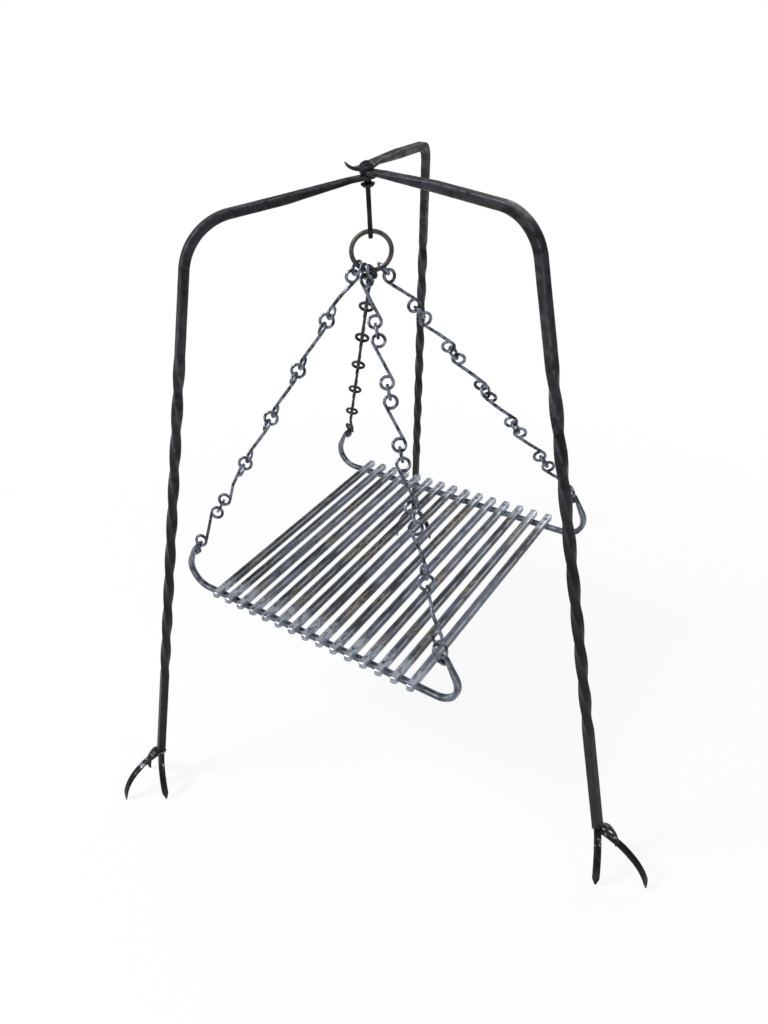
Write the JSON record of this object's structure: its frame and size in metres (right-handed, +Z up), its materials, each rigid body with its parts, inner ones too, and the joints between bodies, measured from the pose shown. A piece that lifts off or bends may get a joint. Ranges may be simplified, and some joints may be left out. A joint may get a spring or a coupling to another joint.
{
  "type": "hanging grill grate",
  "caption": "Folding three-leg forged stand with twisted legs and claw feet, carrying a riveted bar grate on four chains of long S-links from a swivel hook and ring.",
  "frame": {"origin": "on the floor, straight under the pivot pin of the stand", "axes": "+Z up; +X along the two rails of the grate; +Y along its bars, towards the back leg"},
  "size_m": [0.7355, 0.943, 0.9312],
  "materials": {
    "dark_iron": "hammered forged bar, blackened and waxed",
    "hook_iron": "forged, blackened",
    "ring_iron": "forged round bar, brownish grey",
    "grate_iron": "wire-brushed dark grey bar with worn patches",
    "rivet_iron": "hammered rivet heads, worn bright",
    "chain_iron": "wire-brushed blue-grey round wire"
  },
  "bodies": {
    "stand": {"leg_back": "dark_iron", "claws_back": "dark_iron"},
    "left_leg": {"leg_left": "dark_iron", "claws_left": "dark_iron"},
    "right_leg": {"leg_right": "dark_iron", "claws_right": "dark_iron"},
    "hook": {"swivel_hook": "hook_iron", "hook_collar": "hook_iron"},
    "ring": {"main_ring": "ring_iron"},
    "suspension": {"bar_01": "grate_iron", "bar_02": "grate_iron", "bar_03": "grate_iron", "bar_04": "grate_iron", "bar_05": "grate_iron", "bar_06": "grate_iron", "bar_07": "grate_iron", "bar_08": "grate_iron", "bar_09": "grate_iron", "bar_10": "grate_iron", "bar_11": "grate_iron", "bar_12": "grate_iron", "bar_13": "grate_iron", "bar_14": "grate_iron", "bar_15": "grate_iron", "rail_near": "grate_iron", "rail_far": "grate_iron", "rivets_near": "rivet_iron", "rivets_far": "rivet_iron", "rings_a": "chain_iron", "rings_b": "chain_iron", "rings_c": "chain_iron", "rings_d": "chain_iron"},
    "link_a1_body": {"link_a1": "chain_iron"},
    "link_a2_body": {"link_a2": "chain_iron"},
    "link_a3_body": {"link_a3": "chain_iron"},
    "link_a4_body": {"link_a4": "chain_iron"},
    "link_a5_body": {"link_a5": "chain_iron"},
    "link_a6_body": {"link_a6": "chain_iron"},
    "link_b1_body": {"link_b1": "chain_iron"},
    "link_b2_body": {"link_b2": "chain_iron"},
    "link_b3_body": {"link_b3": "chain_iron"},
    "link_b4_body": {"link_b4": "chain_iron"},
    "link_b5_body": {"link_b5": "chain_iron"},
    "link_b6_body": {"link_b6": "chain_iron"},
    "link_c1_body": {"link_c1": "chain_iron"},
    "link_c2_body": {"link_c2": "chain_iron"},
    "link_c3_body": {"link_c3": "chain_iron"},
    "link_c4_body": {"link_c4": "chain_iron"},
    "link_c5_body": {"link_c5": "chain_iron"},
    "link_c6_body": {"link_c6": "chain_iron"},
    "link_d1_body": {"link_d1": "chain_iron"},
    "link_d2_body": {"link_d2": "chain_iron"},
    "link_d3_body": {"link_d3": "chain_iron"},
    "link_d4_body": {"link_d4": "chain_iron"},
    "link_d5_body": {"link_d5": "chain_iron"},
    "link_d6_body": {"link_d6": "chain_iron"}
  },
  "joints": [
    {"name": "left_leg_fold", "type": "hinge", "parent": "stand", "child": "left_leg", "pos_m": [0, 0, 0.906], "axis": [0, 0, 1], "range_deg": [-100, 30]},
    {"name": "right_leg_fold", "type": "hinge", "parent": "stand", "child": "right_leg", "pos_m": [0, 0, 0.91], "axis": [0, 0, 1], "range_deg": [-30, 72]},
    {"name": "hook_swivel", "type": "hinge", "parent": "stand", "child": "hook", "pos_m": [0, 0, 0.9], "axis": [0, 0, 1], "continuous": true},
    {"name": "ring_tilt", "type": "hinge", "parent": "hook", "child": "ring", "pos_m": [0, 0, 0.83445], "axis": [0.829, 0.5592, 0], "range_deg": [-5, 5]},
    {"name": "grate_swing", "type": "hinge", "parent": "ring", "child": "suspension", "pos_m": [0, 0, 0.80745], "axis": [0.5592, -0.829, 0], "range_deg": [-5, 5]},
    {"name": "turn_a1", "type": "hinge", "parent": "suspension", "child": "link_a1_body", "pos_m": [-0.20234, -0.19553, 0.39818], "axis": [0.3969, 0.3933, 0.8293], "range_deg": [-20, 20]},
    {"name": "turn_a2", "type": "hinge", "parent": "suspension", "child": "link_a2_body", "pos_m": [-0.16863, -0.16213, 0.46861], "axis": [0.3969, 0.3933, 0.8293], "range_deg": [-20, 9]},
    {"name": "turn_a3", "type": "hinge", "parent": "suspension", "child": "link_a3_body", "pos_m": [-0.13493, -0.12873, 0.53904], "axis": [0.3969, 0.3933, 0.8293], "range_deg": [-20, 9]},
    {"name": "turn_a4", "type": "hinge", "parent": "suspension", "child": "link_a4_body", "pos_m": [-0.10122, -0.09533, 0.60946], "axis": [0.3969, 0.3933, 0.8293], "range_deg": [-20, 9]},
    {"name": "turn_a5", "type": "hinge", "parent": "suspension", "child": "link_a5_body", "pos_m": [-0.06752, -0.06194, 0.67989], "axis": [0.3969, 0.3933, 0.8293], "range_deg": [-20, 9]},
    {"name": "turn_a6", "type": "hinge", "parent": "suspension", "child": "link_a6_body", "pos_m": [-0.03381, -0.02854, 0.75032], "axis": [0.3969, 0.3933, 0.8293], "range_deg": [-20, 2]},
    {"name": "turn_b1", "type": "hinge", "parent": "suspension", "child": "link_b1_body", "pos_m": [0.19703, -0.19246, 0.40292], "axis": [-0.4374, 0.3966, 0.8071], "range_deg": [-20, 20]},
    {"name": "turn_b2", "type": "hinge", "parent": "suspension", "child": "link_b2_body", "pos_m": [0.15983, -0.15873, 0.47155], "axis": [-0.4374, 0.3966, 0.8071], "range_deg": [-20, 2]},
    {"name": "turn_b3", "type": "hinge", "parent": "suspension", "child": "link_b3_body", "pos_m": [0.12263, -0.12501, 0.54019], "axis": [-0.4374, 0.3966, 0.8071], "range_deg": [-20, 20]},
    {"name": "turn_b4", "type": "hinge", "parent": "suspension", "child": "link_b4_body", "pos_m": [0.08543, -0.09128, 0.60883], "axis": [-0.4374, 0.3966, 0.8071], "range_deg": [-20, 20]},
    {"name": "turn_b5", "type": "hinge", "parent": "suspension", "child": "link_b5_body", "pos_m": [0.04823, -0.05756, 0.67746], "axis": [-0.4374, 0.3966, 0.8071], "range_deg": [-20, 20]},
    {"name": "turn_b6", "type": "hinge", "parent": "suspension", "child": "link_b6_body", "pos_m": [0.01103, -0.02383, 0.7461], "axis": [-0.4374, 0.3966, 0.8071], "range_deg": [-20, 2]},
    {"name": "turn_c1", "type": "hinge", "parent": "suspension", "child": "link_c1_body", "pos_m": [0.20187, 0.19521, 0.39775], "axis": [-0.4061, -0.3996, 0.8218], "range_deg": [-20, 20]},
    {"name": "turn_c2", "type": "hinge", "parent": "suspension", "child": "link_c2_body", "pos_m": [0.16742, 0.16131, 0.46748], "axis": [-0.4061, -0.3996, 0.8218], "range_deg": [-20, 20]},
    {"name": "turn_c3", "type": "hinge", "parent": "suspension", "child": "link_c3_body", "pos_m": [0.13296, 0.12741, 0.5372], "axis": [-0.4061, -0.3996, 0.8218], "range_deg": [-20, 20]},
    {"name": "turn_c4", "type": "hinge", "parent": "suspension", "child": "link_c4_body", "pos_m": [0.0985, 0.09351, 0.60693], "axis": [-0.4061, -0.3996, 0.8218], "range_deg": [-20, 20]},
    {"name": "turn_c5", "type": "hinge", "parent": "suspension", "child": "link_c5_body", "pos_m": [0.06405, 0.05961, 0.67665], "axis": [-0.4061, -0.3996, 0.8218], "range_deg": [-20, 20]},
    {"name": "turn_c6", "type": "hinge", "parent": "suspension", "child": "link_c6_body", "pos_m": [0.02959, 0.0257, 0.74638], "axis": [-0.4061, -0.3996, 0.8218], "range_deg": [-20, 15]},
    {"name": "turn_d1", "type": "hinge", "parent": "suspension", "child": "link_d1_body", "pos_m": [-0.20091, 0.19441, 0.39737], "axis": [0.4213, -0.4117, 0.8081], "range_deg": [-20, 20]},
    {"name": "turn_d2", "type": "hinge", "parent": "suspension", "child": "link_d2_body", "pos_m": [-0.16481, 0.15914, 0.4666], "axis": [0.4213, -0.4117, 0.8081], "range_deg": [-20, 20]},
    {"name": "turn_d3", "type": "hinge", "parent": "suspension", "child": "link_d3_body", "pos_m": [-0.12872, 0.12386, 0.53584], "axis": [0.4213, -0.4117, 0.8081], "range_deg": [-20, 20]},
    {"name": "turn_d4", "type": "hinge", "parent": "suspension", "child": "link_d4_body", "pos_m": [-0.09263, 0.08859, 0.60507], "axis": [0.4213, -0.4117, 0.8081], "range_deg": [-20, 20]},
    {"name": "turn_d5", "type": "hinge", "parent": "suspension", "child": "link_d5_body", "pos_m": [-0.05653, 0.05331, 0.6743], "axis": [0.4213, -0.4117, 0.8081], "range_deg": [-20, 20]},
    {"name": "turn_d6", "type": "hinge", "parent": "suspension", "child": "link_d6_body", "pos_m": [-0.02044, 0.01804, 0.74353], "axis": [0.4213, -0.4117, 0.8081], "range_deg": [-15, 10]}
  ]
}
